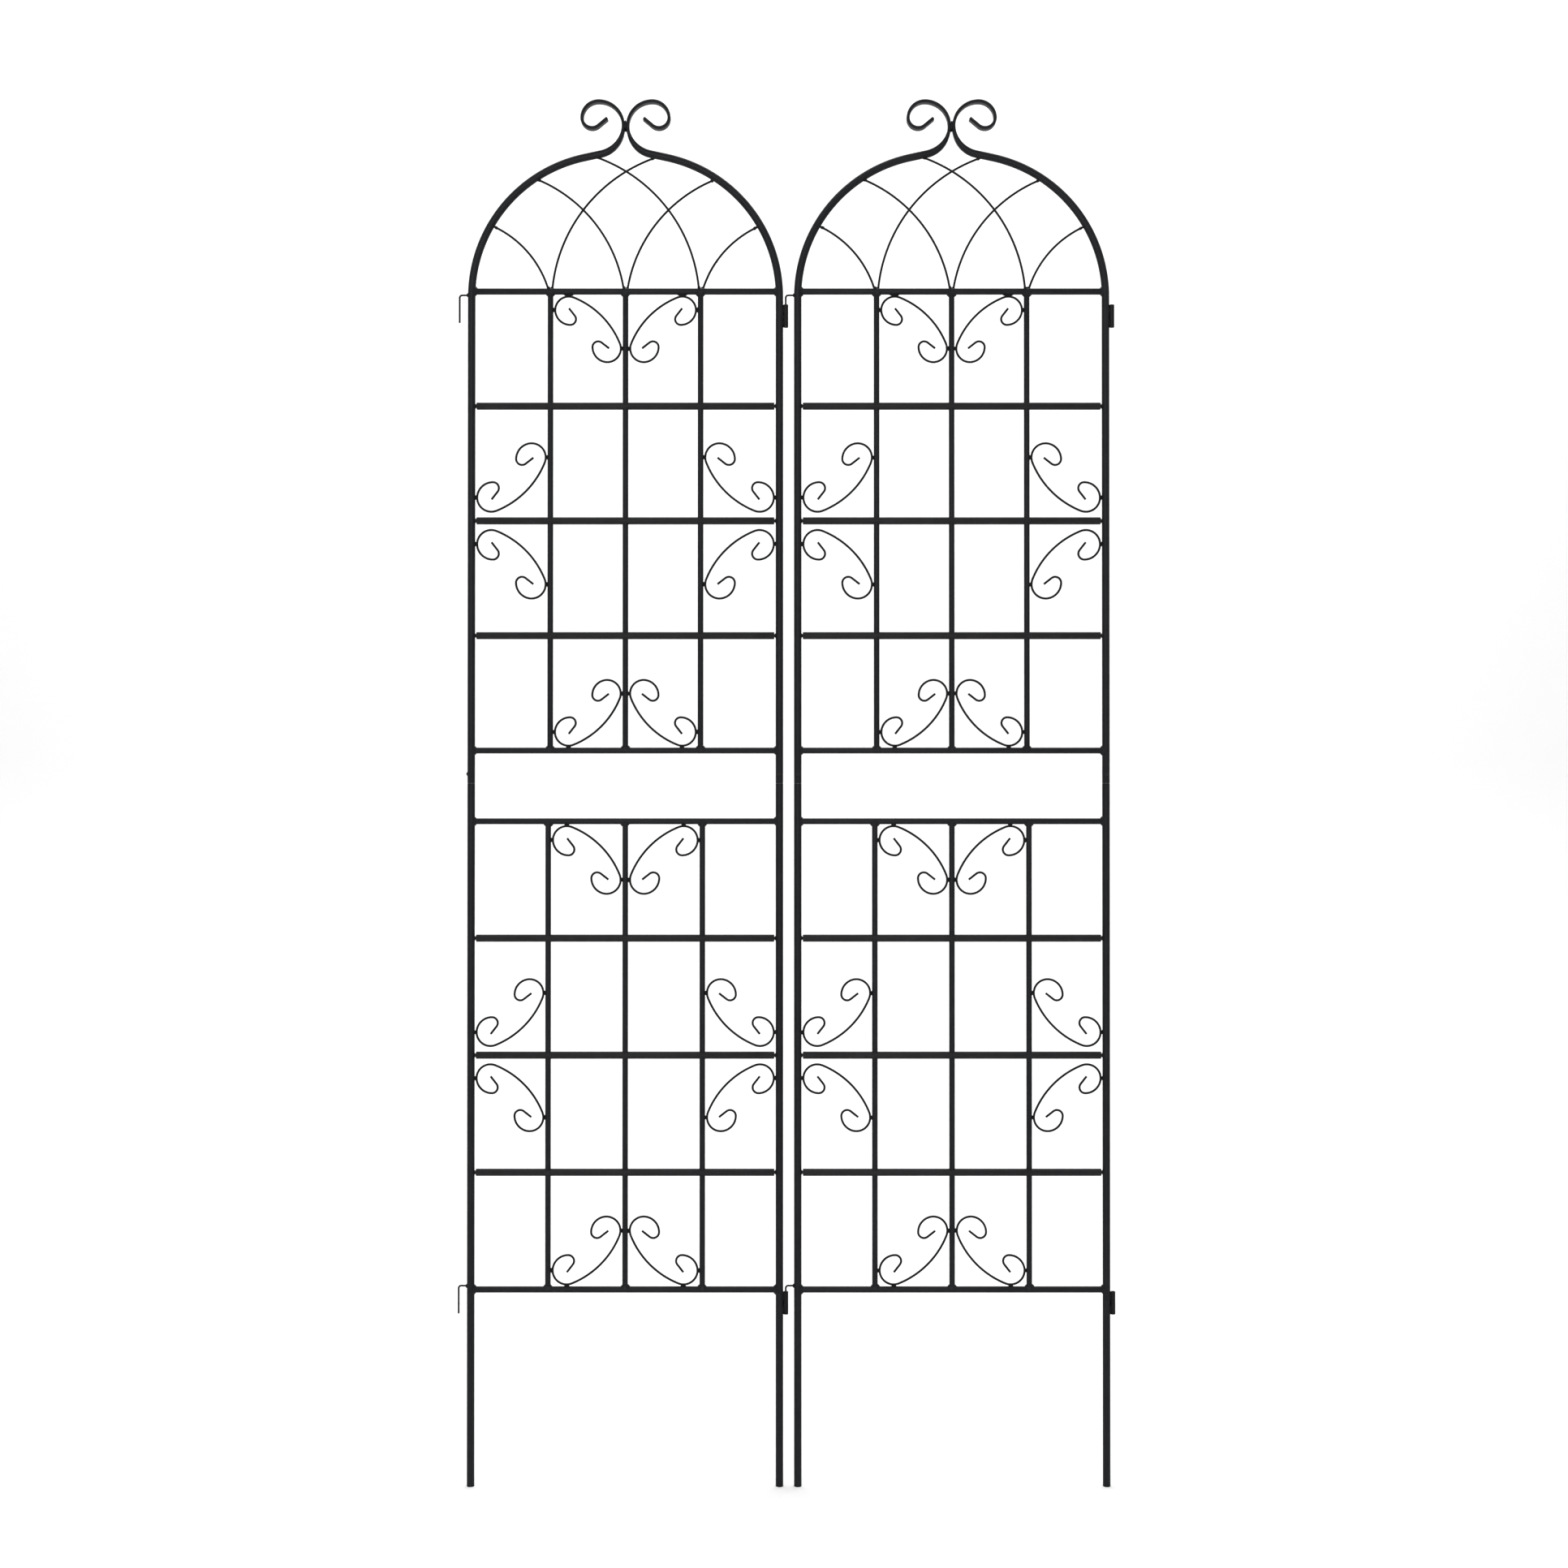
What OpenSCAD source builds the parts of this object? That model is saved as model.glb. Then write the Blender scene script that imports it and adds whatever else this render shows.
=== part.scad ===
// Metal trellis arch: a linked pair of identical panels.
// Each panel has a lower section with legs and an upper section that closes in a
// pointed arch. The right panel's hooks hang in the left panel's sockets and form
// the hinge between the two. Millimetres, +Z up, the front faces -Y, and the
// origin is on the ground in the middle of the pair.

/* [Panel] */
// Distance between the centre lines of a panel's two side tubes
panel_w = 488; // [470:1:520]
// Height of the lowest bar above the tips of the legs
leg_h = 310; // [250:1:400]
// Spacing of the bars in the lower section
lower_pitch = 185; // [175:1:200]
// Spacing of the bars in the upper section
upper_pitch = 182; // [175:1:200]
// Distance between the facing bars of the two sections
seam_gap = 112; // [105:1:140]
// Height of the seam above the lower section's top bar
seam_rise = 60; // [50:1:70]
// Spacing of the uprights in the lower section
lower_upright_pitch = 122; // [118:0.5:126]
// Spacing of the uprights in the upper section
upper_upright_pitch = 119; // [116:0.5:124]

/* [Tubes] */
// Outer diameter of the side tubes
side_d = 12; // [11:0.5:14]
// Wall of the side tubes
side_wall = 1; // [0.8:0.1:1.5]
// Outer diameter of the topmost and the lowest bar
end_bar_d = 10; // [9:0.5:11]
// Outer diameter of the two bars that face each other across the seam
seam_bar_d = 9.5; // [9.5:0.5:11]
// Outer diameter of the cross bars that the uprights pass through
cross_bar_d = 11.5; // [11:0.5:13]
// Outer diameter of the uprights
upright_d = 9; // [8:0.5:9]
// Wall of the bars and the uprights
bar_wall = 0.8; // [0.6:0.1:1.2]

/* [Arch and finial] */
// Radius of the arch at the centre line of the side tube
arch_r = 226; // [215:1:230]
// Depth of the springing line below the top bar
arch_drop = 8; // [0:1:20]
// Slope of the tube where the arch ends, in degrees above level
ogee_slope = 12; // [8:1:16]
// Radius of the reverse bend below the finial
ogee_r = 45; // [40:1:50]
// Distance from the middle of the panel to the middle of the flattened tube at the neck
neck_x = 3.5; // [3:0.5:5]
// Thickness of the flattened tube
strip_t = 5; // [4:0.5:5]
// Depth of the flattened tube, front to back
strip_w = 16; // [14:0.5:17]
// Radius of the finial scroll from the neck to its crown
crown_r = 39; // [36:0.5:42]
// Radius of the finial scroll from its crown to its outer side
shoulder_r = 26.5; // [24:0.5:28]
// Radius of the finial scroll's inner curl
curl_r = 16; // [14:0.5:18]
// Straight end of the finial scroll
finial_tail = 18; // [10:1:20]

/* [Wire] */
// Diameter of the tracery and scroll wire
wire_d = 3.5; // [3:0.5:4]
// Gap between a scroll and the tube beside it, which a weld spot bridges
weld_gap = 1.2; // [1:0.1:1.5]
// Gap between the side scrolls and the middle cross bar
side_scroll_gap = 7; // [4:0.5:12]

/* [Section joint] */
// Length of the spigot in each of the two tubes
spigot_reach = 40; // [30:1:45]
// Height of the joint screw above the seam
screw_rise = 15; // [10:1:20]
// Diameter of the joint screw
screw_d = 4; // [3:0.5:4]
// Diameter of the joint screw's head
screw_head_d = 6.5; // [6:0.5:7]

/* [Linking hooks and sockets] */
// Diameter of the hook wire
hook_d = 3; // [2.5:0.5:3]
// Distance from the side tube's centre line to the hook's pin
hook_reach = 19; // [18:0.5:22]
// Length of the hook below its arm
hook_drop = 44; // [40:1:45]
// Radius of the hook's bend at the centre line
hook_bend_r = 4; // [3:0.5:5]
// Distance from a section's end bar to the hook's arm
hook_offset = 6; // [6:0.5:8]
// Outer diameter of the sockets
socket_d = 8; // [7.5:0.5:9]
// Bore of the sockets
socket_bore = 5; // [4.5:0.5:5]
// Height of the sockets
socket_h = 36; // [30:1:40]
// Depth of the upper socket's mouth below the top bar
upper_socket_drop = 21; // [18:1:25]
// Depth of the lower socket's mouth below the lowest bar
lower_socket_drop = 3; // [3:1:10]

/* [Hidden] */
$fn = 48;

// Heights of the bars
rows = 4;
lower_bottom_z = leg_h;
lower_top_z = lower_bottom_z + rows * lower_pitch;
seam_z = lower_top_z + seam_rise;
upper_bottom_z = lower_top_z + seam_gap;
upper_top_z = upper_bottom_z + rows * upper_pitch;

// Places of the panels: hooks and sockets fill the space between them
side_x = panel_w / 2;
side_r = side_d / 2;
socket_reach = side_r + socket_d / 2;
panel_step = panel_w + hook_reach + socket_reach;
centring = (hook_reach + hook_d / 2 - socket_reach - socket_d / 2) / 2;

// Lengths along the side tube above its springing line
arch_turn = 90 - ogee_slope;
arch_end_x = side_x - arch_r * (1 - cos(arch_turn));
ogee_span = ogee_r * (1 - sin(ogee_slope));
ogee_run = (arch_end_x - ogee_span - neck_x) / cos(ogee_slope);
spring_z = upper_top_z - arch_drop;
arch_end_z = spring_z + arch_r * sin(arch_turn);

// A scroll's bends in degrees, and its radii as fractions of its width
back_turn = 23;
outer_curl_turn = 125;
inner_curl_turn = 180 + 45 - back_turn - outer_curl_turn;
back_share = 1.2686;
outer_curl_share = 0.2066;
inner_curl_share = 0.2306;
tip_curl_share = 0.0865;
tip_turn = 128;
tail_share = 0.144;
// Distance of the scroll's middle from the two sides of its convex corner
back_inset = outer_curl_share * (1 - sin(90 - (45 - back_turn)))
    + back_share * (cos(45 - back_turn) - cos(45));

// Wires: the tracery's left and right wires cross in two layers
wire_r = wire_d / 2;
wire_layer = wire_r + 0.05;
wire_step = 0.05;
wire_lap = 0.5;
weld_r = 1.5;
weld_bite = 0.3;

// Tracery: where its wires leave the side tube, as angles above the springing line
// or a distance from the panel's middle, the wires' radii, and their feet
outer_start = 30;
middle_start = 56;
inner_start_x = 52;
inner_start_z = arch_end_z - upper_top_z + 1.8;
outer_wire_r = 162;
middle_wire_r = 226;
inner_wire_r = 245;
foot_gap = 2.4;

// Pressed end of the upper side tubes
press_steps = 6;
press_lap = 1;
quarter = 90;
finial_curl_turn = 130;

// Fits and small features
bore_clear = 0.05;
hole_clear = 0.1;
end_cap = 1.5;
bar_neck_d = 5;
bar_neck_l = 2;
screw_head_h = 1.8;
screw_end_gap = 0.6;
screw_drive_d = 2.5;
screw_drive_h = 1;
socket_web = 3;
far = 60;

// Directions in the plan view: a joint screw faces the front or outwards
front = 270;
outwards = 180;

// ---- placing ----

// Turns a drawing in the XY plane upright, with its Y axis along +Z
module upright() {
    rotate([90, 0, 0]) children();
}

module left_panel() {
    translate([centring - panel_step / 2, 0, 0]) children();
}

module right_panel() {
    translate([centring + panel_step / 2, 0, 0]) children();
}

// The children, and again mirrored to the other half of the panel
module both_sides() {
    children();
    mirror([1, 0, 0]) children();
}

// ---- bent rods, drawn from the origin along +X with the children at the far end ----

module rod(length, r) {
    rotate([0, 90, 0]) cylinder(h = length, r = r);
    translate([length, 0, 0]) children();
}

// Bends the first child, a cross-section, and puts the second at the far end.
// Positive angles turn left. With a lap, the bend reaches that much further at
// both ends, into the pieces before and after it.
module bend_section(angle, bend_r, lap = 0) {
    side = sign(angle);
    turn = abs(angle);
    lap_turn = lap / bend_r * 180 / PI;
    translate([0, side * bend_r, 0])
        rotate([0, 0, (side > 0 ? -90 : 90 - turn) - lap_turn])
            rotate_extrude(angle = turn + 2 * lap_turn)
                translate([bend_r, 0])
                    children(0);
    translate([bend_r * sin(turn), side * bend_r * (1 - cos(turn)), 0])
        rotate([0, 0, angle])
            children(1);
}

module bend(angle, bend_r, r, lap = 0) {
    bend_section(angle, bend_r, lap) {
        circle(r = r);
        children();
    }
}

// A flattened tube's cross-section with round ends, drawn smaller all round by margin
module flat_section(thick, wide, margin = 0) {
    square([thick - 2 * margin, wide - thick], center = true);
    for (end = [-1, 1])
        translate([0, end * (wide - thick) / 2])
            circle(d = thick - 2 * margin);
}

module strip_bend(angle, bend_r, margin = 0, lap = 0) {
    bend_section(angle, bend_r, lap) {
        flat_section(strip_t, strip_w, margin);
        children();
    }
}

// The straight end, which laps into the bend before it
module strip_tail(length) {
    translate([-press_lap, 0, 0])
        rotate([90, 0, 90])
            linear_extrude(height = length + press_lap)
                flat_section(strip_t, strip_w, wire_step);
}

// A bend in which the tube is pressed from round to flat, a little more at each step
module pressed_bend(step = 0) {
    if (step < press_steps) {
        share = (step + 0.5) / press_steps;
        bend_section(arch_turn / press_steps, ogee_r, press_lap) {
            flat_section(side_d + (strip_t - side_d) * share, side_d + (strip_w - side_d) * share);
            pressed_bend(step + 1) children();
        }
    } else {
        children();
    }
}

// ---- side tubes ----

// The round part of an upper side tube, left side, as a solid of radius r that
// starts below the seam by extra and stops short of the reverse bend by short. The
// arch is a hair thinner and laps into the straight runs before and after it.
module upper_side_round(r, extra = 0, short = 0) {
    translate([-side_x, 0, seam_z - extra])
        upright()
            rotate([0, 0, 90])
                rod(spring_z - seam_z + extra, r)
                    bend(-arch_turn, arch_r, r - wire_step, wire_lap)
                        rod(ogee_run - short, r);
}

// The flattened end of an upper side tube, left side: reverse bend, neck and scroll.
// Every second part of the scroll is a hair thinner and laps into its neighbours.
module finial_half() {
    translate([-arch_end_x, 0, arch_end_z])
        upright()
            rotate([0, 0, ogee_slope])
                translate([ogee_run, 0, 0])
                    pressed_bend()
                        strip_bend(quarter, crown_r)
                            strip_bend(quarter, shoulder_r, wire_step, wire_lap)
                                strip_bend(finial_curl_turn, curl_r)
                                    strip_tail(finial_tail);
}

// A hole for the joint screw, entering from the given direction round the tube
module screw_hole(x, direction) {
    translate([x, 0, seam_z + screw_rise])
        rotate([0, 90, direction])
            cylinder(h = far, d = screw_d + 2 * hole_clear);
}

module upper_side_tube(direction) {
    color("#1f1f22")
        difference() {
            union() {
                upper_side_round(side_r);
                finial_half();
            }
            upper_side_round(side_r - side_wall, 1, 2 * press_lap);
            screw_hole(-side_x, direction);
        }
}

module lower_side_tube() {
    color("#1f1f22")
        translate([-side_x, 0, 0])
            difference() {
                cylinder(h = seam_z, r = side_r);
                translate([0, 0, -1])
                    cylinder(h = seam_z + 2, r = side_r - side_wall);
            }
}

// ---- bars and uprights ----

module level_rod(length, d, z) {
    translate([-length / 2, 0, z])
        rotate([0, 90, 0])
            cylinder(h = length, d = d);
}

// Solid stand-ins for the side tubes, which the bars are cut to fit
module side_solids(z) {
    both_sides()
        translate([-side_x, 0, z - far / 2])
            cylinder(h = far, r = side_r);
}

module plain_bar(z, d) {
    difference() {
        level_rod(panel_w, d, z);
        level_rod(panel_w + 2, d - 2 * bar_wall, z);
        children();
    }
}

// A cross bar, closed at both ends, with a short neck to each side tube and a
// hole for each upright
module cross_bar(z, pitch) {
    length = panel_w - side_d - 2 * bar_neck_l;
    difference() {
        union() {
            level_rod(length, cross_bar_d, z);
            level_rod(panel_w, bar_neck_d, z);
        }
        level_rod(length - 2 * end_cap, cross_bar_d - 2 * bar_wall, z);
        for (column = [-1 : 1])
            translate([column * pitch, 0, z - far / 2])
                cylinder(h = far, d = upright_d + 2 * hole_clear);
        side_solids(z);
    }
}

module cross_bars(bottom_z, row_pitch, upright_pitch) {
    color("#232326")
        for (row = [1 : rows - 1])
            cross_bar(bottom_z + row * row_pitch, upright_pitch);
}

module uprights(bottom_z, bottom_d, top_z, top_d, pitch) {
    color("#242427")
        for (column = [-1 : 1])
            difference() {
                translate([column * pitch, 0, bottom_z])
                    difference() {
                        cylinder(h = top_z - bottom_z, d = upright_d);
                        cylinder(h = top_z - bottom_z, d = upright_d - 2 * bar_wall);
                    }
                level_rod(panel_w, bottom_d, bottom_z);
                level_rod(panel_w, top_d, top_z);
            }
}

// ---- wire work ----

// One end of a scroll, drawn onwards from the end of its back. Every second bend
// is a hair thinner and laps into its neighbours.
module scroll_end(size) {
    bend(outer_curl_turn, outer_curl_share * size, wire_r - wire_step, wire_lap)
        bend(inner_curl_turn, inner_curl_share * size, wire_r)
            bend(tip_turn, tip_curl_share * size, wire_r - wire_step, wire_lap)
                rod(tail_share * size, wire_r);
}

// A whole scroll with the middle of its back at the origin and its ends at +Y
module scroll_wire(size) {
    back_r = back_share * size;
    reach = back_r * sin(back_turn);
    rise = back_r * (1 - cos(back_turn));
    translate([-reach, rise, 0])
        rotate([0, 0, -back_turn])
            bend(2 * back_turn, back_r, wire_r);
    both_sides()
        translate([reach, rise, 0])
            rotate([0, 0, back_turn])
                scroll_end(size);
}

// A weld spot from the wire's middle at (x, y) towards the tube beside it
module weld_spot(x, y, angle) {
    translate([x, y, 0])
        rotate([0, 90, angle])
            cylinder(h = wire_r + weld_gap + weld_bite, r = weld_r);
}

// A scroll whose convex corner is at the origin and points to +X +Y
module scroll(size, on_bar) {
    far_side = size * (1 - outer_curl_share);
    near_side = size * outer_curl_share;
    translate([-back_inset * size, -back_inset * size, 0])
        rotate([0, 0, 135])
            scroll_wire(size);
    weld_spot(0, -far_side, 0);
    weld_spot(-size, -near_side, 180);
    if (on_bar)
        weld_spot(-far_side, 0, 90);
}

function scroll_size(cell_w) = cell_w - wire_d - 2 * weld_gap;

// The scroll in a centre cell, left of the middle upright; up is 1 under the upper
// bar of the cell and -1 on its lower bar
module centre_scroll(bar_z, bar_d, up, pitch) {
    corner = upright_d / 2 + weld_gap + wire_r;
    corner_z = bar_z - up * (bar_d / 2 + weld_gap + wire_r);
    translate([-corner, 0, corner_z])
        upright()
            mirror([0, up < 0 ? 1 : 0, 0])
                scroll(scroll_size(pitch - upright_d), true);
}

// The two scrolls in a side cell, above and below the middle cross bar
module side_scrolls(middle_z, pitch) {
    cell_w = side_x - pitch - side_r - upright_d / 2;
    corner = pitch + upright_d / 2 + weld_gap + wire_r;
    rise = cross_bar_d / 2 + side_scroll_gap + wire_r;
    for (up = [-1, 1])
        translate([-corner, 0, middle_z + up * rise])
            upright()
                mirror([0, up > 0 ? 1 : 0, 0])
                    scroll(scroll_size(cell_w), false);
}

module centre_pair(bar_z, bar_d, up, pitch) {
    color("#1a1a1c")
        both_sides()
            centre_scroll(bar_z, bar_d, up, pitch);
}

module side_pair(bottom_z, row_pitch, pitch) {
    color("#1a1a1c")
        side_scrolls(bottom_z + rows / 2 * row_pitch, pitch);
}

// Centre of an arc of radius r that runs clockwise from a to b
function arc_centre(a, b, r) =
    let (
        half = (b - a) / 2,
        away = sqrt(r * r - half * half),
        along = half / norm(half)
    )
    (a + b) / 2 + away * [along[1], -along[0]];

// One tracery wire: an arc of radius r from a on the side tube down to b on the
// top bar, both measured from the middle of that bar
module tracery_wire(a, b, r) {
    centre = arc_centre(a, b, r);
    start = atan2(b[1] - centre[1], b[0] - centre[0]);
    end = atan2(a[1] - centre[1], a[0] - centre[0]);
    difference() {
        translate([centre[0], -wire_layer, upper_top_z + centre[1]])
            upright()
                rotate([0, 0, start])
                    rotate_extrude(angle = end - start)
                        translate([r, 0])
                            circle(r = wire_r);
        upper_side_round(side_r);
        level_rod(panel_w, end_bar_d, upper_top_z);
    }
}

// Middle of the side tube at an angle above the springing line, as measured from
// the middle of the top bar
function on_arch(angle) = [
    arch_r - side_x - arch_r * cos(angle),
    arch_r * sin(angle) - arch_drop
];

module tracery(a, foot_x, r) {
    color("#1a1a1c") {
        tracery_wire(a, [foot_x, 0], r);
        rotate([0, 0, 180]) tracery_wire(a, [foot_x, 0], r);
    }
}

// ---- section joint ----

// A tight stub of tube in the lower section that the upper one slides on to. The
// threaded hole for its screw runs through both walls.
module spigot(x, direction) {
    translate([x, 0, seam_z])
        difference() {
            union() {
                translate([0, 0, -spigot_reach])
                    cylinder(h = spigot_reach, r = side_r - side_wall);
                cylinder(h = spigot_reach, r = side_r - side_wall - bore_clear);
            }
            cylinder(h = 2 * far, r = side_r - 2 * side_wall, center = true);
            translate([0, 0, screw_rise])
                rotate([0, 90, direction])
                    cylinder(h = far, d = screw_d, center = true);
        }
}

module spigots(left_direction, right_direction) {
    color("#2a2a2d") {
        spigot(-side_x, left_direction);
        spigot(side_x, right_direction);
    }
}

// A domed screw whose head lies on the tube and points in the given direction
module joint_screw(x, direction) {
    dome_r = (screw_head_d ^ 2 / 4 + screw_head_h ^ 2) / (2 * screw_head_h);
    shank = 2 * side_r - side_wall - screw_end_gap;
    color("#2e2e31")
        translate([x, 0, seam_z + screw_rise])
            rotate([0, 90, direction]) {
                translate([0, 0, side_r - shank])
                    cylinder(h = shank, d = screw_d);
                translate([0, 0, side_r])
                    difference() {
                        intersection() {
                            translate([0, 0, screw_head_h - dome_r])
                                sphere(r = dome_r);
                            cylinder(h = screw_head_h, d = screw_head_d);
                        }
                        translate([0, 0, screw_head_h - screw_drive_h])
                            cylinder(h = 2 * screw_drive_h, d = screw_drive_d, $fn = 6);
                    }
            }
}

// ---- linking hooks and sockets ----

// A hook on a panel's left side tube, its pin pointing down
module hook(arm_z) {
    arm = hook_reach - hook_bend_r;
    color("#1a1a1c")
        difference() {
            translate([-side_x, 0, arm_z])
                upright()
                    rotate([0, 0, 180])
                        rod(arm, hook_d / 2)
                            bend(90, hook_bend_r, hook_d / 2)
                                rod(hook_drop - hook_bend_r, hook_d / 2);
            side_solids(arm_z);
        }
}

// A socket on a panel's right side tube, joined to it by a narrow web of weld
module socket(mouth_z) {
    color("#1f1f22")
        difference() {
            translate([side_x + socket_reach, 0, mouth_z - socket_h]) {
                cylinder(h = socket_h, d = socket_d);
                translate([-socket_reach, -socket_web / 2, 0])
                    cube([socket_reach, socket_web, socket_h]);
            }
            translate([side_x + socket_reach, 0, mouth_z - socket_h - 1])
                cylinder(h = socket_h + 2, d = socket_bore);
            side_solids(mouth_z - socket_h / 2);
        }
}

// ---- the pieces of one panel ----

module upper_right_tube() {
    mirror([1, 0, 0]) upper_side_tube(front);
}

module upper_top_bar() {
    color("#232326")
        plain_bar(upper_top_z, end_bar_d)
            both_sides() upper_side_round(side_r);
}

module upper_bottom_bar() {
    color("#232326")
        plain_bar(upper_bottom_z, seam_bar_d)
            side_solids(upper_bottom_z);
}

module lower_top_bar() {
    color("#232326")
        plain_bar(lower_top_z, seam_bar_d)
            side_solids(lower_top_z);
}

module lower_bottom_bar() {
    color("#232326")
        plain_bar(lower_bottom_z, end_bar_d)
            side_solids(lower_bottom_z);
}

module upper_cross_bars() {
    cross_bars(upper_bottom_z, upper_pitch, upper_upright_pitch);
}

module lower_cross_bars() {
    cross_bars(lower_bottom_z, lower_pitch, lower_upright_pitch);
}

module upper_uprights() {
    uprights(upper_bottom_z, seam_bar_d, upper_top_z, end_bar_d, upper_upright_pitch);
}

module lower_uprights() {
    uprights(lower_bottom_z, end_bar_d, lower_top_z, seam_bar_d, lower_upright_pitch);
}

module tracery_outer() {
    tracery(on_arch(outer_start), -upper_upright_pitch - foot_gap, outer_wire_r);
}

module tracery_middle() {
    tracery(on_arch(middle_start), -foot_gap, middle_wire_r);
}

module tracery_inner() {
    inner_start = [-inner_start_x, inner_start_z];
    tracery(inner_start, upper_upright_pitch - foot_gap, inner_wire_r);
}

module upper_scrolls_top() {
    centre_pair(upper_top_z, end_bar_d, 1, upper_upright_pitch);
}

module upper_scrolls_left() {
    side_pair(upper_bottom_z, upper_pitch, upper_upright_pitch);
}

module upper_scrolls_right() {
    mirror([1, 0, 0]) upper_scrolls_left();
}

module upper_scrolls_bottom() {
    centre_pair(upper_bottom_z, seam_bar_d, -1, upper_upright_pitch);
}

module lower_left_tube() {
    lower_side_tube();
}

module lower_right_tube() {
    mirror([1, 0, 0]) lower_side_tube();
}

module lower_scrolls_top() {
    centre_pair(lower_top_z, seam_bar_d, 1, lower_upright_pitch);
}

module lower_scrolls_left() {
    side_pair(lower_bottom_z, lower_pitch, lower_upright_pitch);
}

module lower_scrolls_right() {
    mirror([1, 0, 0]) lower_scrolls_left();
}

module lower_scrolls_bottom() {
    centre_pair(lower_bottom_z, end_bar_d, -1, lower_upright_pitch);
}

module upper_hook() {
    hook(upper_top_z - hook_offset);
}

module lower_hook() {
    hook(lower_bottom_z + hook_offset);
}

module upper_socket() {
    socket(upper_top_z - upper_socket_drop);
}

module lower_socket() {
    socket(lower_bottom_z - lower_socket_drop);
}

left_panel() upper_side_tube(outwards);  // left_upper_left_tube
left_panel() upper_right_tube();  // left_upper_right_tube
left_panel() upper_top_bar();  // left_upper_top_bar
left_panel() upper_cross_bars();  // left_upper_cross_bars
left_panel() upper_bottom_bar();  // left_upper_bottom_bar
left_panel() upper_uprights();  // left_upper_uprights
left_panel() tracery_outer();  // left_tracery_outer
left_panel() tracery_middle();  // left_tracery_middle
left_panel() tracery_inner();  // left_tracery_inner
left_panel() upper_scrolls_top();  // left_upper_scrolls_top
left_panel() upper_scrolls_left();  // left_upper_scrolls_left
left_panel() upper_scrolls_right();  // left_upper_scrolls_right
left_panel() upper_scrolls_bottom();  // left_upper_scrolls_bottom
left_panel() lower_left_tube();  // left_lower_left_tube
left_panel() lower_right_tube();  // left_lower_right_tube
left_panel() lower_top_bar();  // left_lower_top_bar
left_panel() lower_cross_bars();  // left_lower_cross_bars
left_panel() lower_bottom_bar();  // left_lower_bottom_bar
left_panel() lower_uprights();  // left_lower_uprights
left_panel() lower_scrolls_top();  // left_lower_scrolls_top
left_panel() lower_scrolls_left();  // left_lower_scrolls_left
left_panel() lower_scrolls_right();  // left_lower_scrolls_right
left_panel() lower_scrolls_bottom();  // left_lower_scrolls_bottom
left_panel() spigots(outwards, front);  // left_spigots
left_panel() {  // left_joint_screws
    joint_screw(-side_x, outwards);
    joint_screw(side_x, front);
}
left_panel() upper_hook();  // left_upper_hook
left_panel() lower_hook();  // left_lower_hook
left_panel() upper_socket();  // left_upper_socket
left_panel() lower_socket();  // left_lower_socket
right_panel() upper_side_tube(front);  // right_upper_left_tube
right_panel() upper_right_tube();  // right_upper_right_tube
right_panel() upper_top_bar();  // right_upper_top_bar
right_panel() upper_cross_bars();  // right_upper_cross_bars
right_panel() upper_bottom_bar();  // right_upper_bottom_bar
right_panel() upper_uprights();  // right_upper_uprights
right_panel() tracery_outer();  // right_tracery_outer
right_panel() tracery_middle();  // right_tracery_middle
right_panel() tracery_inner();  // right_tracery_inner
right_panel() upper_scrolls_top();  // right_upper_scrolls_top
right_panel() upper_scrolls_left();  // right_upper_scrolls_left
right_panel() upper_scrolls_right();  // right_upper_scrolls_right
right_panel() upper_scrolls_bottom();  // right_upper_scrolls_bottom
right_panel() lower_left_tube();  // right_lower_left_tube
right_panel() lower_right_tube();  // right_lower_right_tube
right_panel() lower_top_bar();  // right_lower_top_bar
right_panel() lower_cross_bars();  // right_lower_cross_bars
right_panel() lower_bottom_bar();  // right_lower_bottom_bar
right_panel() lower_uprights();  // right_lower_uprights
right_panel() lower_scrolls_top();  // right_lower_scrolls_top
right_panel() lower_scrolls_left();  // right_lower_scrolls_left
right_panel() lower_scrolls_right();  // right_lower_scrolls_right
right_panel() lower_scrolls_bottom();  // right_lower_scrolls_bottom
right_panel() spigots(front, front);  // right_spigots
right_panel() {  // right_joint_screws
    joint_screw(-side_x, front);
    joint_screw(side_x, front);
}
right_panel() upper_hook();  // right_upper_hook
right_panel() lower_hook();  // right_lower_hook
right_panel() upper_socket();  // right_upper_socket
right_panel() lower_socket();  // right_lower_socket
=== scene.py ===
"""Looks of the metal trellis arch: smooth bent tubes and wires with weld beads, in
satin black powder coat. Lengths are in millimetres until they go into a mesh."""

import math

import bmesh
import bpy
from mathutils import Matrix, Vector, noise


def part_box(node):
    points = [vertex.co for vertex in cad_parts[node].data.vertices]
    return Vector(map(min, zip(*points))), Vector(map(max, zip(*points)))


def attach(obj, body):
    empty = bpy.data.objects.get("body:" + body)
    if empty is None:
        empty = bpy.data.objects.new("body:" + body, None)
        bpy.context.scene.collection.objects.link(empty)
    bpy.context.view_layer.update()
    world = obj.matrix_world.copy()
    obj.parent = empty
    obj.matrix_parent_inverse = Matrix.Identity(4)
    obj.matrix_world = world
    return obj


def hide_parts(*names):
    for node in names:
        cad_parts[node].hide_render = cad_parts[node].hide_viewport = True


MM = 0.001

# Tube, bar and wire sizes
SIDE_R = 6.0
SIDE_WALL = 1.0
END_BAR_R = 5.0
SEAM_BAR_R = 4.75
CROSS_BAR_R = 5.75
UPRIGHT_R = 4.5
NECK_R = 2.5
NECK_LENGTH = 2.0
CROSS_BAR_LIP = 1.2
HOLE_CLEARANCE = 0.1
WIRE_R = 1.75
WELD_GAP = 1.2

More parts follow.
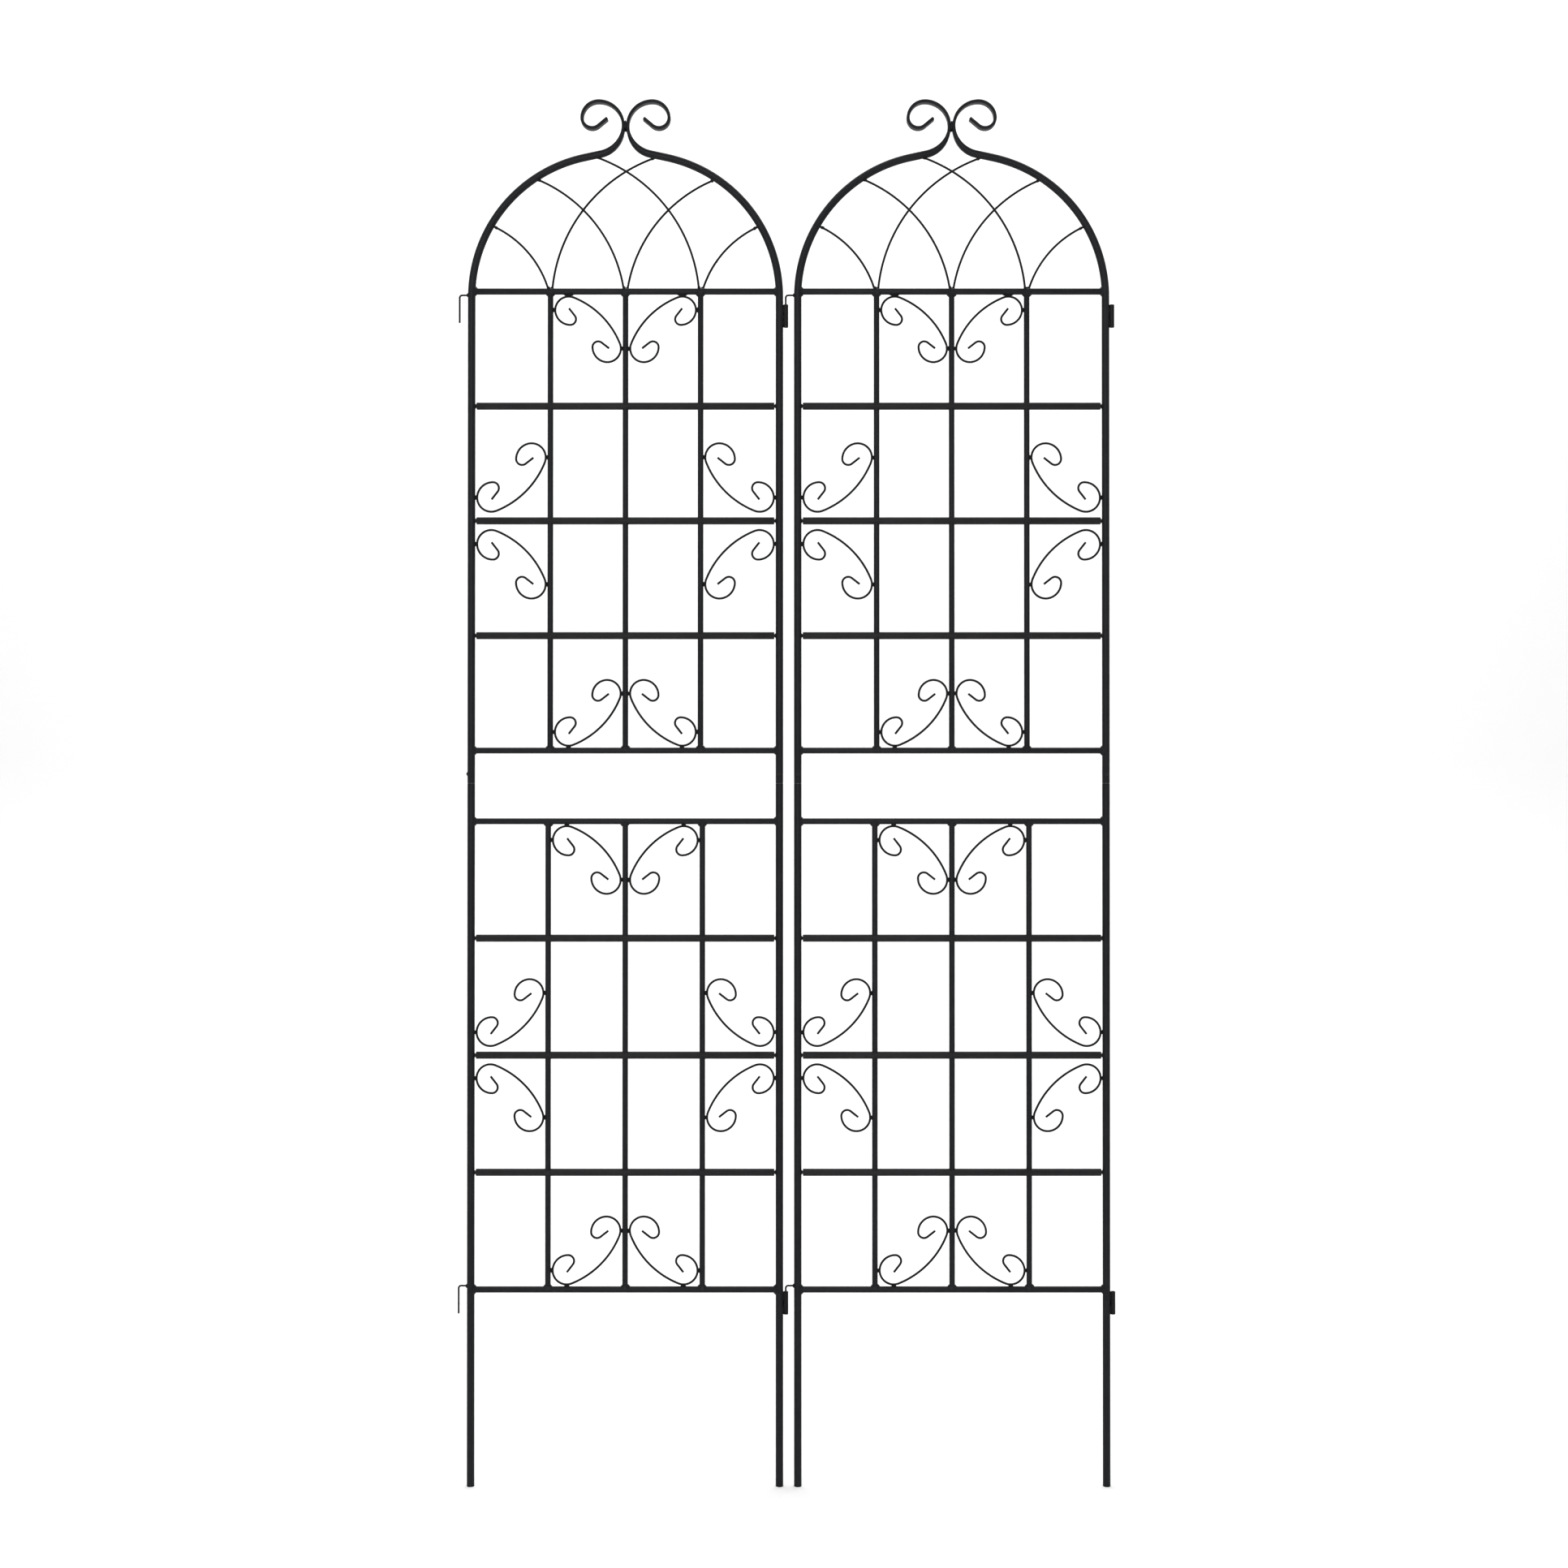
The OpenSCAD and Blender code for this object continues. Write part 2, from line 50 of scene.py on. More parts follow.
# Arch and finial
ARCH_R = 226.0
ARCH_DROP = 8.0
OGEE_SLOPE = 12.0
OGEE_R = 45.0
NECK_X = 3.5
STRIP_T = 5.0
STRIP_W = 16.0
CROWN_R = 39.0
SHOULDER_R = 26.5
CURL_R = 16.0
CURL_TURN = 130.0
TAIL = 18.0

# Scrolls: bends in degrees, radii as shares of the scroll's width
BACK_TURN = 23.0
OUTER_TURN = 125.0
INNER_TURN = 225.0 - BACK_TURN - OUTER_TURN
TIP_TURN = 128.0
BACK_SHARE = 1.2686
OUTER_SHARE = 0.2066
INNER_SHARE = 0.2306
TIP_SHARE = 0.0865
TAIL_SHARE = 0.144
SIDE_SCROLL_GAP = 7.0

# Tracery: starts on the side tube, radii, and feet on the top bar
OUTER_START = 30.0
MIDDLE_START = 56.0
INNER_START_X = 52.0
INNER_START_RISE = 1.8
OUTER_WIRE_R = 162.0
MIDDLE_WIRE_R = 226.0
INNER_WIRE_R = 245.0
FOOT_GAP = 2.4
WIRE_LAYER = WIRE_R + 0.05

# Section joint, hooks and sockets
SEAM_SLIT = 0.2
SPIGOT_REACH = 40.0
SCREW_RISE = 15.0
SCREW_HEAD_R = 3.25
SCREW_HEAD_H = 1.8
SCREW_DRIVE_R = 1.25
SCREW_DRIVE_H = 1.0
SCREW_SHANK_R = 2.0
SCREW_END_GAP = 0.6
SCREW_RIM = 0.2
HOOK_R = 1.5
HOOK_REACH = 19.0
HOOK_DROP = 44.0
HOOK_BEND_R = 4.0
HOOK_TIP_ROUND = 0.9
HOOK_OFFSET = 6.0
SOCKET_R = 4.0
SOCKET_BORE_R = 2.5
SOCKET_H = 36.0
UPPER_SOCKET_DROP = 21.0
LOWER_SOCKET_DROP = 3.0

# Weld beads round a joint: how far they reach up each of the two pieces
BAR_BEAD = 2.6
UPRIGHT_BEAD = 3.0
NECK_BEAD = 1.2
HOOK_BEAD = 1.9
BEAD_SINK = 0.4
BEAD_UNEVEN = 0.45
BEAD_GRAIN = 0.22
RIPPLES = 9
RIPPLE_SIZE = 0.10

# Lumps of weld: half of their length, width and depth
TACK = (3.6, 1.5, 1.5)
SHORT_SMEAR = (4.0, 1.5, 1.6)
LONG_SMEAR = (8.0, 1.5, 1.6)
ARCH_TACK = (3.6, 2.5, 2.3)
FOOT_TACK = (2.6, 2.4, 2.2)
FINIAL_BEAD = (6.5, 1.9, 1.5)
SOCKET_BEAD = (6.5, 1.5, 1.5)
FINIAL_BEAD_Y = 6.3
ARCH_TACK_WAY = 7.5
FOOT_TACK_RISE = 0.6
SOCKET_BEAD_Y = 1.5
LUMP_UNEVEN = 0.3
LUMP_GRAIN = 0.35

# Smoothness of the meshes
TUBE_SIDES = 40
WIRE_SIDES = 20
BEND_STEP = 2.5
FINE_STEP = 2.0
ARCH_STEP = 1.5
CURL_STEP = 6
TIP_STEP = 10
TRACERY_STEPS = 60
EDGE_ROUND = 0.5
WIRE_END_ROUND = 0.45
SMALL_EDGE = 0.3
SHARP_ANGLE = 38
FRONT = -1.0
OUTWARDS_SCREW = (-1, 0, 0)
FRONT_SCREW = (0, FRONT, 0)


# ---- strokes: flat paths of (x, z, heading in degrees) ----

def line(start, length, steps=1):
    """A straight run onwards from a stroke's last point."""
    x, z, heading = start
    angle = math.radians(heading)
    return [
        (x + math.cos(angle) * length * i / steps, z + math.sin(angle) * length * i / steps, heading)
        for i in range(1, steps + 1)
    ]


def arc(start, turn, radius, step=BEND_STEP):
    """A bend onwards from a stroke's last point; positive turns go left."""
    x, z, heading = start
    side = math.copysign(1, turn)
    centre_angle = math.radians(heading + side * 90)
    cx = x + math.cos(centre_angle) * radius
    cz = z + math.sin(centre_angle) * radius
    steps = max(2, math.ceil(abs(turn) / step))
    points = []
    for i in range(1, steps + 1):
        now = heading + turn * i / steps
        out = math.radians(now - side * 90)
        points.append((cx + math.cos(out) * radius, cz + math.sin(out) * radius, now))
    return points


def moved(stroke, dx, dz):
    """The same stroke somewhere else."""
    return [(x + dx, z + dz, heading) for x, z, heading in stroke]


def turned(stroke, angle):
    """The same stroke turned about the origin."""
    c = math.cos(math.radians(angle))
    s = math.sin(math.radians(angle))
    return [(x * c - z * s, x * s + z * c, heading + angle) for x, z, heading in stroke]


def mirrored_x(stroke):
    """The same stroke with left and right swapped."""
    return [(-x, z, 180 - heading) for x, z, heading in stroke]


def mirrored_z(stroke):
    """The same stroke with top and bottom swapped."""
    return [(x, -z, -heading) for x, z, heading in stroke]


# ---- shells: closed surfaces made of rings of points ----

def shade(work):
    """Smooth faces everywhere, with a crease at each sharp edge."""
    for face in work.faces:
        face.smooth = True
    for edge in work.edges:
        flat = len(edge.link_faces) != 2
        edge.smooth = flat or edge.calc_face_angle() < math.radians(SHARP_ANGLE)


class Shells:
    """Collects closed shells in millimetres from the panel's middle, and makes one mesh of them."""

    def __init__(self):
        self.points = []
        self.faces = []

    def loft(self, rings, closed=False):
        """Joins rings of equal length into a closed shell, with a face over each open end."""
        base = len(self.points)
        count = len(rings)
        sides = len(rings[0])
        for ring in rings:
            self.points.extend(ring)
        for i in range(count if closed else count - 1):
            a = base + i * sides
            b = base + (i + 1) % count * sides
            for j in range(sides):
                k = (j + 1) % sides
                self.faces.append((a + j, a + k, b + k, b + j))
        if not closed:
            last = base + (count - 1) * sides
            self.faces.append(tuple(base + j for j in reversed(range(sides))))
            self.faces.append(tuple(last + j for j in range(sides)))

    def mirrored(self):
        """The same shells on the other side of the panel."""
        other = Shells()
        other.points = [(-x, y, z) for x, y, z in self.points]
        other.faces = [tuple(reversed(face)) for face in self.faces]
        return other

    def add(self, other):
        """Takes in another collection's shells."""
        base = len(self.points)
        self.points.extend(other.points)
        self.faces.extend(tuple(base + i for i in face) for face in other.faces)

    def mesh(self, name, centre_x):
        """One mesh of all the shells, for the panel whose middle is at centre_x."""
        mesh = bpy.data.meshes.new(name)
        points = [((x + centre_x) * MM, y * MM, z * MM) for x, y, z in self.points]
        mesh.from_pydata(points, [], self.faces)
        work = bmesh.new()
        work.from_mesh(mesh)
        bmesh.ops.recalc_face_normals(work, faces=work.faces)
        shade(work)
        work.to_mesh(mesh)
        work.free()
        return mesh


def section(station, thick, deep, sides, y=0.0):
    """A round-ended section across a stroke: thick in the panel's plane, deep front to back."""
    x, z, heading = station
    angle = math.radians(heading + 90)
    across = (math.cos(angle), math.sin(angle))
    ring = []
    for i in range(sides):
        phase = 2 * math.pi * (i + 0.5) / sides
        out = math.cos(phase) * thick / 2
        depth = math.sin(phase) * thick / 2
        depth += math.copysign((deep - thick) / 2, math.sin(phase))
        ring.append((x + across[0] * out, y + depth, z + across[1] * out))
    return ring


def nudged(station, distance):
    """A station moved along its own heading."""
    x, z, heading = station
    angle = math.radians(heading)
    return (x + math.cos(angle) * distance, z + math.sin(angle) * distance, heading)


def rod(shells, stroke, radius, sides=WIRE_SIDES, y=0.0, rounding=None):
    """A solid round rod along a stroke with rounded ends."""
    edge = radius * WIRE_END_ROUND if rounding is None else rounding
    first, last = stroke[0], stroke[-1]
    steps = 3
    round_end = []
    for i in range(steps):
        turn = math.radians(90 * i / steps)
        inset = edge * (1 - math.cos(turn))
        size = 2 * (radius - edge + edge * math.sin(turn))
        round_end.append((inset, size))
    rings = [section(nudged(first, inset), size, size, sides, y) for inset, size in round_end]
    for station in [nudged(first, edge)] + stroke[1:-1] + [nudged(last, -edge)]:
        rings.append(section(station, 2 * radius, 2 * radius, sides, y))
    for inset, size in reversed(round_end):
        rings.append(section(nudged(last, -inset), size, size, sides, y))
    shells.loft(rings)


def lathe(shells, origin, axis, profile, sides=TUBE_SIDES, closed=False, hexagon=()):
    """Turns (distance along axis, radius) pairs round an axis. Pairs named in hexagon are six-sided."""
    direction = Vector(axis).normalized()
    across = direction.orthogonal().normalized()
    other = direction.cross(across)
    rings = []
    for number, (along, radius) in enumerate(profile):
        ring = []
        for i in range(sides):
            phase = 2 * math.pi * i / sides
            size = radius
            if number in hexagon:
                part = (phase + math.pi / 6) % (math.pi / 3) - math.pi / 6  # from the flat's middle
                size = radius * math.cos(math.pi / 6) / math.cos(part)
            point = Vector(origin) + direction * along
            point += (across * math.cos(phase) + other * math.sin(phase)) * size
            ring.append(tuple(point))
        rings.append(ring)
    shells.loft(rings, closed)


# ---- welds ----

def rough(x, y, z, seed, scale):
    """Smooth noise from -1 to 1 at a point, different for each seed."""
    return noise.noise(Vector((x, y, z)) * scale + Vector((seed * 7.3, seed * 3.1, seed * 5.7)))


def weld_ring(shells, x, z, heading, rod_r, tube_r, size, seed):
    """A weld bead where a rod that leaves (x, z) along heading stands on a tube across it."""
    angle = math.radians(heading)
    away = Vector((math.cos(angle), 0, math.sin(angle)))
    along = Vector((-math.sin(angle), 0, math.cos(angle)))
    front = Vector((0, 1, 0))
    centre = Vector((x, 0, z))
    stations = 48
    bead_points = 6
    bulge = 0.8
    rings = []
    for i in range(stations):
        turn = 2 * math.pi * i / stations
        side = rod_r * math.sin(turn)
        rise = math.sqrt(max(tube_r ** 2 - side ** 2, 0.01))
        foot = centre + away * rise + along * rod_r * math.cos(turn) + front * side
        round_tube = (front * rise - away * side) / tube_r
        outward = (along * math.cos(turn) + round_tube * math.sin(turn)).normalized()
        ripple = RIPPLE_SIZE * math.sin(RIPPLES * turn + seed)
        uneven = BEAD_UNEVEN * rough(foot.x, foot.y, foot.z, seed, BEAD_GRAIN)
        width = size * (1 + uneven + ripple)
        ring = []
        for j in range(bead_points):
            share = j / (bead_points - 1)
            up = (1 - share) ** bulge
            out = share ** bulge
            ring.append(tuple(foot + away * width * up + outward * width * out))
        ring.append(tuple(foot - (away + outward) * BEAD_SINK))
        rings.append(ring)
    shells.loft(rings, closed=True)


def weld_blob(shells, centre, heading, half_size, seed):
    """A lump of weld, long in the direction of heading in the panel's plane."""
    half_length, half_width, half_depth = half_size
    angle = math.radians(heading)
    along = Vector((math.cos(angle), 0, math.sin(angle)))
    across = Vector((-math.sin(angle), 0, math.cos(angle)))
    front = Vector((0, 1, 0))
    rings = []
    stations = 14
    sides = 16
    blunt = 0.06
    for i in range(stations + 1):
        turn = math.pi * (blunt + (1 - 2 * blunt) * i / stations)
        ring = []
        for j in range(sides):
            phase = 2 * math.pi * j / sides
            point = along * -math.cos(turn) * half_length
            point += across * math.sin(turn) * math.cos(phase) * half_width
            point += front * math.sin(turn) * math.sin(phase) * half_depth
            swell = 1 + LUMP_UNEVEN * rough(*(Vector(centre) + point), seed, LUMP_GRAIN)
            ring.append(tuple(Vector(centre) + point * swell))
        rings.append(ring)
    shells.loft(rings)


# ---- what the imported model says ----

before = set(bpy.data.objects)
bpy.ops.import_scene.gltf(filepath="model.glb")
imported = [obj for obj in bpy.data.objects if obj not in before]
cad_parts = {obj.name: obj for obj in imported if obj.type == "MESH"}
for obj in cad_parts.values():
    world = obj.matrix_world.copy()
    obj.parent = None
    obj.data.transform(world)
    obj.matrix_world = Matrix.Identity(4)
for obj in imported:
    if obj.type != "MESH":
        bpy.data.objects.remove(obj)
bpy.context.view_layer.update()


def middle(node):
    """Middle of a node's box, in millimetres."""
    low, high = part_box(node)
    return (low + high) / 2 / MM


def top_of(node):
    """Height of a node's top, in millimetres."""
    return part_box(node)[1].z / MM


def half_width(node):
    """Half of a node's width, in millimetres."""
    low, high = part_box(node)
    return (high.x - low.x) / 2 / MM


PANELS = ("left", "right")
PANEL_X = {}
for panel in PANELS:
    left_x = middle(panel + "_lower_left_tube").x
    right_x = middle(panel + "_lower_right_tube").x
    PANEL_X[panel] = (left_x + right_x) / 2
SIDE_X = middle("left_lower_right_tube").x - PANEL_X["left"]
SEAM_Z = top_of("left_lower_left_tube")
LOWER_BOTTOM_Z = middle("left_lower_bottom_bar").z
LOWER_TOP_Z = middle("left_lower_top_bar").z
UPPER_BOTTOM_Z = middle("left_upper_bottom_bar").z
UPPER_TOP_Z = middle("left_upper_top_bar").z
LOWER_PITCH = half_width("left_lower_uprights") - UPRIGHT_R
UPPER_PITCH = half_width("left_upper_uprights") - UPRIGHT_R
ROWS = 4
COLUMNS = (-1, 0, 1)

SPRING_Z = UPPER_TOP_Z - ARCH_DROP
ARCH_TURN = 90 - OGEE_SLOPE
ARCH_END_X = SIDE_X - ARCH_R * (1 - math.cos(math.radians(ARCH_TURN)))
ARCH_END_Z = SPRING_Z + ARCH_R * math.sin(math.radians(ARCH_TURN))
OGEE_RUN = (
    ARCH_END_X - OGEE_R * (1 - math.sin(math.radians(OGEE_SLOPE))) - NECK_X
) / math.cos(math.radians(OGEE_SLOPE))


# ---- side tubes ----

def upper_side_tube():
    """The left one: round up to the reverse bend, pressed flat from there to its curled end."""
    shells = Shells()
    start = (-SIDE_X, SEAM_Z + SEAM_SLIT, 90)
    round_part = [nudged(start, EDGE_ROUND)]
    round_part += line(start, SPRING_Z - SEAM_Z - SEAM_SLIT, 8)
    round_part += arc(round_part[-1], -ARCH_TURN, ARCH_R, ARCH_STEP)
    round_part += line(round_part[-1], OGEE_RUN, 6)
    pressed = arc(round_part[-1], ARCH_TURN, OGEE_R, FINE_STEP)
    strip = arc(pressed[-1], 90, CROWN_R)
    strip += arc(strip[-1], 90, SHOULDER_R)
    strip += arc(strip[-1], CURL_TURN, CURL_R)
    strip += line(strip[-1], TAIL - EDGE_ROUND, 3)
    bore = 2 * (SIDE_R - SIDE_WALL)
    full = 2 * SIDE_R
    recess = nudged(start, SPIGOT_REACH + 2)  # hidden by the spigot
    rings = [
        section(recess, bore, bore, TUBE_SIDES),
        section(start, bore, bore, TUBE_SIDES),
        section(start, full - EDGE_ROUND, full - EDGE_ROUND, TUBE_SIDES),
    ]
    rings += [section(station, full, full, TUBE_SIDES) for station in round_part]
    for number, station in enumerate(pressed, 1):
        share = (1 - math.cos(math.pi * number / len(pressed))) / 2
        thick = full + (STRIP_T - full) * share
        deep = full + (STRIP_W - full) * share
        rings.append(section(station, thick, deep, TUBE_SIDES))
    rings += [section(station, STRIP_T, STRIP_W, TUBE_SIDES) for station in strip]
    tip = nudged(strip[-1], EDGE_ROUND)
    rings.append(section(tip, STRIP_T - 2 * EDGE_ROUND, STRIP_W - 2 * EDGE_ROUND, TUBE_SIDES))
    shells.loft(rings)
    return shells


def lower_side_tube():
    """The left one: an open tube from the ground to the seam."""
    shells = Shells()
    bore = SIDE_R - SIDE_WALL
    height = SEAM_Z
    edge = EDGE_ROUND / 2
    outside = [(0, SIDE_R - edge), (edge, SIDE_R), (height / 2, SIDE_R)]
    outside += [(height - edge, SIDE_R), (height, SIDE_R - edge)]
    inside = [(height, bore), (height / 2, bore), (0, bore)]
    profile = outside + inside
    lathe(shells, (-SIDE_X, 0, 0), (0, 0, 1), profile, closed=True)
    return shells


# ---- bars and uprights ----

def plain_bar(z, radius, seed):
    """A bar that runs into both side tubes, with a weld bead round each end."""
    shells = Shells()
    end = SIDE_X - SIDE_R + SIDE_WALL
    rod(shells, [(-end, z, 0), (0, z, 0), (end, z, 0)], radius, TUBE_SIDES, rounding=EDGE_ROUND)
    weld_ring(shells, -SIDE_X, z, 0, radius, SIDE_R, BAR_BEAD, seed)
    weld_ring(shells, SIDE_X, z, 180, radius, SIDE_R, BAR_BEAD, seed + 1)
    return shells


def cross_bar(z):
    """A cross bar closed at both ends, with a narrow neck welded to each side tube."""
    shells = Shells()
    end = SIDE_X - SIDE_R + SIDE_WALL
    shoulder = SIDE_X - SIDE_R - NECK_LENGTH
    lip = CROSS_BAR_LIP
    half = [(end, NECK_R - SMALL_EDGE), (end - SMALL_EDGE, NECK_R), (shoulder, NECK_R)]
    half += [(shoulder, CROSS_BAR_R - lip), (shoulder - lip * 0.3, CROSS_BAR_R - lip * 0.3)]
    half += [(shoulder - lip, CROSS_BAR_R)]
    profile = [(-along, radius) for along, radius in half]
    profile += [(0, CROSS_BAR_R)]
    profile += [(along, radius) for along, radius in reversed(half)]
    lathe(shells, (0, 0, z), (1, 0, 0), profile)
    return shells


def hole_cutters(bar_heights, pitch):
    """Plugs that punch the holes for the uprights."""
    shells = Shells()
    reach = 1.5 * CROSS_BAR_R
    hole_r = UPRIGHT_R + HOLE_CLEARANCE
    for z in bar_heights:
        for column in COLUMNS:
            lathe(shells, (column * pitch, 0, z), (0, 0, 1), [(-reach, hole_r), (reach, hole_r)])
    return shells


def uprights(bottom_z, bottom_r, top_z, top_r, pitch, seed):
    """The three uprights of a section, from its lowest bar to its top one."""
    shells = Shells()
    for column in COLUMNS:
        x = column * pitch
        middle_z = (bottom_z + top_z) / 2
        stroke = [(x, bottom_z + 1, 90), (x, middle_z, 90), (x, top_z - 1, 90)]
        rod(shells, stroke, UPRIGHT_R, TUBE_SIDES, rounding=EDGE_ROUND)
        weld_ring(shells, x, bottom_z, 90, UPRIGHT_R, bottom_r, UPRIGHT_BEAD, seed + column)
        weld_ring(shells, x, top_z, 270, UPRIGHT_R, top_r, UPRIGHT_BEAD, seed + column + 5)
    return shells


# ---- wire work ----

def scroll_stroke(size):
    """A C scroll with the middle of its back at the origin and its ends at +z."""
    back_r = BACK_SHARE * size
    half = [(0.0, 0.0, 0.0)]
    half += arc(half[-1], BACK_TURN, back_r, FINE_STEP)
    half += arc(half[-1], OUTER_TURN, OUTER_SHARE * size, CURL_STEP)
    half += arc(half[-1], INNER_TURN, INNER_SHARE * size, CURL_STEP)
    half += arc(half[-1], TIP_TURN, TIP_SHARE * size, TIP_STEP)
    half += line(half[-1], TAIL_SHARE * size, 2)
    other = [(-x, z, -heading) for x, z, heading in reversed(half[1:])]
    return other + half


def corner_scroll(corner_x, corner_z, up, size, bar_smear, seed):
    """A scroll whose convex corner points to +x and, with up 1, to +z."""
    shells = Shells()
    steep = math.radians(45 + BACK_TURN)
    flat = math.radians(45 - BACK_TURN)
    inset = OUTER_SHARE * (1 - math.sin(steep)) * size
    inset += BACK_SHARE * (math.cos(flat) - math.cos(math.radians(45))) * size
    stroke = moved(turned(scroll_stroke(size), 135), -inset, -inset)
    if up < 0:
        stroke = mirrored_z(stroke)
    stroke = moved(stroke, corner_x, corner_z)
    rod(shells, stroke, WIRE_R)
    far_side = size * (1 - OUTER_SHARE)
    near_side = size * OUTER_SHARE
    out = WIRE_R + WELD_GAP / 2
    spots = [(out, -far_side * up, 90), (-size - out, -near_side * up, 90)]
    for number, (x, z, heading) in enumerate(spots):
        centre = (corner_x + x, 0, corner_z + z)
        weld_blob(shells, centre, heading, TACK, seed + number)
    if bar_smear:
        centre = (corner_x - far_side, 0, corner_z + up * out)
        weld_blob(shells, centre, 0, bar_smear, seed + 2)
    return shells


def centre_pair(bar_z, bar_r, up, pitch, bar_smear, seed):
    """The two scrolls beside the middle upright, under a bar with up 1 or on one with -1."""
    corner = UPRIGHT_R + WELD_GAP + WIRE_R
    corner_z = bar_z - up * (bar_r + WELD_GAP + WIRE_R)
    size = pitch - 2 * UPRIGHT_R - 2 * WIRE_R - 2 * WELD_GAP
    shells = corner_scroll(-corner, corner_z, up, size, bar_smear, seed)
    shells.add(corner_scroll(-corner, corner_z, up, size, bar_smear, seed + 9).mirrored())
    return shells


def side_pair(middle_z, pitch, seed):
    """The left cells' two scrolls, above and below the middle cross bar."""
    cell = SIDE_X - pitch - SIDE_R - UPRIGHT_R
    corner = pitch + UPRIGHT_R + WELD_GAP + WIRE_R
    rise = CROSS_BAR_R + SIDE_SCROLL_GAP + WIRE_R
    size = cell - 2 * WIRE_R - 2 * WELD_GAP
    shells = corner_scroll(-corner, middle_z + rise, -1, size, None, seed)
    shells.add(corner_scroll(-corner, middle_z - rise, 1, size, None, seed + 9))
    return shells


def tracery_stroke(start, end, radius):
    """A clockwise arc from start on the side tube down to end on the top bar."""
    a = Vector(start)
    b = Vector(end)
    half = (b - a) / 2
    along = half.normalized()
    sag = math.sqrt(radius ** 2 - half.length_squared)
    centre = (a + b) / 2 + sag * Vector((along.y, -along.x))
    first = math.atan2(a.y - centre.y, a.x - centre.x)
    last = math.atan2(b.y - centre.y, b.x - centre.x)
    stroke = []
    for i in range(TRACERY_STEPS + 1):
        angle = first + (last - first) * i / TRACERY_STEPS
        point = centre + Vector((math.cos(angle), math.sin(angle))) * radius
        stroke.append((point.x, point.y + UPPER_TOP_Z, math.degrees(angle) - 90))
    return stroke


def on_arch(angle):
    """The point on the left half of the arch at an angle above its springing."""
    turn = math.radians(angle)
    return (ARCH_R - SIDE_X - ARCH_R * math.cos(turn), ARCH_R * math.sin(turn) - ARCH_DROP)


def tracery(start, foot_x, radius, seed):
    """A wire in front and its mirror image behind, each welded at both ends."""
    shells = Shells()
    stroke = tracery_stroke(start, (foot_x, 0), radius)
    for side, layer in ((1, FRONT), (-1, -FRONT)):
        wire = stroke if side > 0 else mirrored_x(stroke)
        y = layer * WIRE_LAYER
        rod(shells, wire, WIRE_R, y=y)
        start_x, start_z = wire[0][:2]
        outside = [s for s in wire if math.hypot(s[0] - start_x, s[1] - start_z) > ARCH_TACK_WAY]
        x, z, heading = outside[0]
        weld_blob(shells, (x, y, z), heading, ARCH_TACK, seed + side)
        foot = (side * foot_x, y, UPPER_TOP_Z + END_BAR_R + FOOT_TACK_RISE)
        weld_blob(shells, foot, 90, FOOT_TACK, seed + side + 3)
    return shells


# ---- hooks, sockets and screws ----

def hook(arm_z, seed):
    """A bent wire from the left side tube: outwards, then down."""
    shells = Shells()
    stroke = [(-SIDE_X - SIDE_R + SIDE_WALL, arm_z, 180)]
    stroke += line(stroke[-1], HOOK_REACH - HOOK_BEND_R - SIDE_R + SIDE_WALL, 2)
    stroke += arc(stroke[-1], 90, HOOK_BEND_R, 6)
    stroke += line(stroke[-1], HOOK_DROP - HOOK_BEND_R, 4)
    rod(shells, stroke, HOOK_R, rounding=HOOK_TIP_ROUND)
    weld_ring(shells, -SIDE_X, arm_z, 180, HOOK_R, SIDE_R, HOOK_BEAD, seed)
    return shells


def socket(mouth_z, seed):
    """A short open tube welded to the side tube in the grooves between them."""
    shells = Shells()
    x = SIDE_X + SIDE_R + SOCKET_R
    edge = SMALL_EDGE
    profile = [(0, SOCKET_R - edge), (edge, SOCKET_R), (SOCKET_H - edge, SOCKET_R)]
    profile += [(SOCKET_H, SOCKET_R - edge), (SOCKET_H, SOCKET_BORE_R + edge)]
    profile += [(SOCKET_H - edge, SOCKET_BORE_R), (edge, SOCKET_BORE_R), (0, SOCKET_BORE_R + edge)]
    lathe(shells, (x, 0, mouth_z - SOCKET_H), (0, 0, 1), profile, 32, closed=True)
    groove_x = SIDE_X + SIDE_R + 0.1
    for side in (-1, 1):
        for share in (0.22, 0.78):
            centre = (groove_x, side * SOCKET_BEAD_Y, mouth_z - SOCKET_H * share)
            weld_blob(shells, centre, 90, SOCKET_BEAD, seed + side + share)
    return shells


def joint_screw(x, direction):
    """A domed head with a six-sided recess, its shank inside the tube."""
    shells = Shells()
    dome_r = (SCREW_HEAD_R ** 2 + SCREW_HEAD_H ** 2) / (2 * SCREW_HEAD_H)
    end = SIDE_WALL + SCREW_END_GAP - 2 * SIDE_R
    profile = [(end, SCREW_SHANK_R - SMALL_EDGE), (end + SMALL_EDGE, SCREW_SHANK_R)]
    rim = SMALL_EDGE / 2
    profile += [(0, SCREW_SHANK_R), (0, SCREW_HEAD_R - rim)]
    steps = 8
    for i in range(steps):
        height = rim + (SCREW_HEAD_H - rim) * i / steps
        radius = math.sqrt(dome_r ** 2 - (height + dome_r - SCREW_HEAD_H) ** 2)
        if radius > SCREW_DRIVE_R + SCREW_RIM:
            profile.append((height, radius))
    rim_h = dome_r * math.cos(math.asin(SCREW_DRIVE_R / dome_r)) + SCREW_HEAD_H - dome_r
    profile += [(rim_h, SCREW_DRIVE_R + 0.1), (rim_h - 0.1, SCREW_DRIVE_R)]
    profile += [(rim_h - SCREW_DRIVE_H, SCREW_DRIVE_R)]
    hexagon = (len(profile) - 2, len(profile) - 1)
    axis = Vector(direction)
    origin = Vector((x, 0, SEAM_Z + SCREW_RISE)) + axis * SIDE_R
    lathe(shells, origin, axis, profile, 36, hexagon=hexagon)
    return shells


# ---- materials ----

